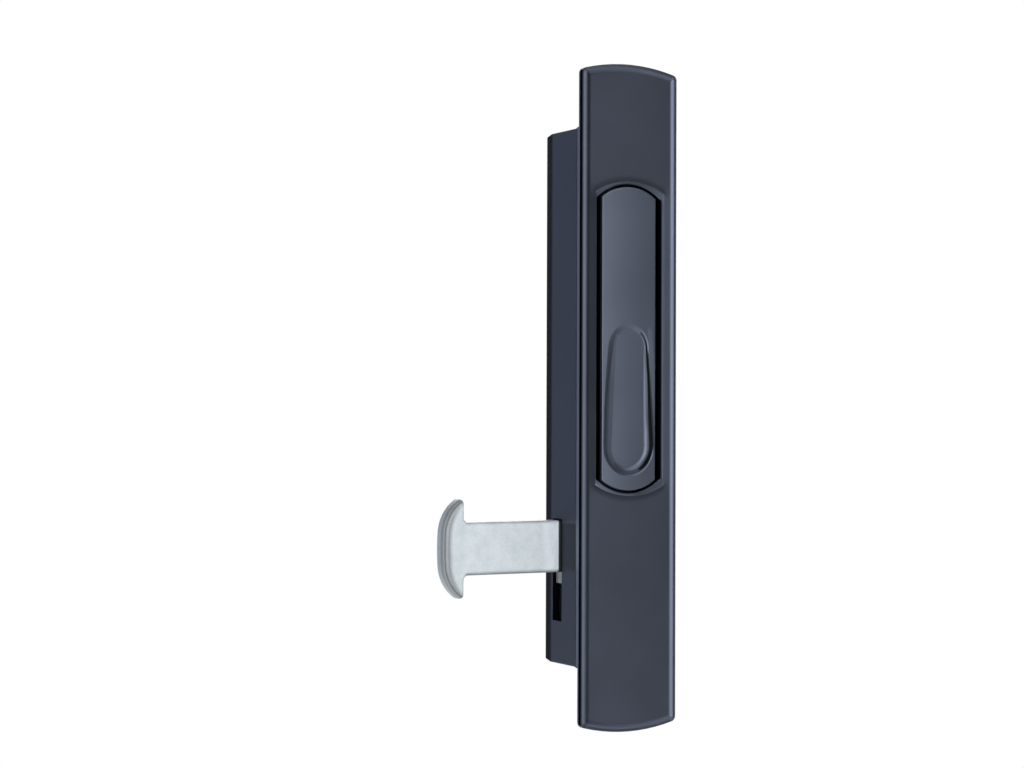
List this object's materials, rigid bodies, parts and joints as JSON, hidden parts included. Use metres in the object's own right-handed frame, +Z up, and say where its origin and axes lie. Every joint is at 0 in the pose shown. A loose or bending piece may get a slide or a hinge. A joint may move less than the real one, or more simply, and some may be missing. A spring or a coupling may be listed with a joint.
{
  "type": "sliding door handle",
  "caption": "Flush sliding-door handle: slim arched face plate on a deep case, a tilting lever with a finger scoop, and a hammer-head bolt out of a side slot.",
  "frame": {"origin": "middle of the face plate's back plane, where the plate seats on the door stile's edge and the case passes into its mortise", "axes": "+Z up along the plate, +Y out of the plate's back into the door stile, +X to the right as seen from the front, so the bolt points along -X"},
  "size_m": [0.0575, 0.0196, 0.16],
  "materials": {
    "painted_casting": "smooth semi-gloss dark grey paint on a zinc casting",
    "painted_lever": "smooth semi-gloss dark grey paint on a zinc casting",
    "bronze": "sintered bronze",
    "ground_steel": "ground steel",
    "zinc_sheet": "zinc-plated sheet steel",
    "zinc_screws": "zinc-plated steel",
    "acetal": "white acetal",
    "cast_carriage": "as-cast, tumbled",
    "zinc_bolt": "stamped steel, clear zinc plating, softly mottled",
    "black_rubber": "matt rubber",
    "spring_steel": "drawn spring wire",
    "cover_sheet": "dark grey painted sheet steel",
    "post_steel": "turned steel, zinc plated"
  },
  "bodies": {
    "case": {"body_casting": "painted_casting", "rear_cover": "cover_sheet", "cover_screws": "zinc_screws", "pivot_pin": "ground_steel", "pivot_bridge": "zinc_sheet", "pivot_bridge_screws": "zinc_screws", "guide_rods": "ground_steel", "carriage_buffers": "black_rubber", "return_spring": "spring_steel", "spring_guide_pin": "ground_steel", "lever_pads": "black_rubber", "upper_fixing_post": "post_steel", "lower_fixing_post": "post_steel"},
    "lever": {"tilt_lever": "painted_lever", "lever_bushes": "bronze", "cam_shoe": "acetal", "cam_shoe_pin": "ground_steel"},
    "bolt": {"bolt_carriage": "cast_carriage", "t_bolt": "zinc_bolt", "bolt_clamp_plate": "zinc_sheet", "bolt_clamp_screws": "zinc_screws", "spring_seat": "zinc_sheet"}
  },
  "joints": [
    {"name": "lever_tilt", "type": "hinge", "parent": "case", "child": "lever", "pos_m": [0, 0.0042, 0.0141], "axis": [1, 0, 0], "range_deg": [0, 14]},
    {"name": "bolt_slide", "type": "slide", "parent": "case", "child": "bolt", "axis": [0, 0, 1], "range_m": [-0.0115, 0], "stiffness_N_per_m": 400, "springref_m": 0.01, "deforming": ["return_spring"]}
  ],
  "couplings": [
    {"joint": "lever_tilt", "follows": "bolt_slide", "rad_per_m": -21.247}
  ]
}
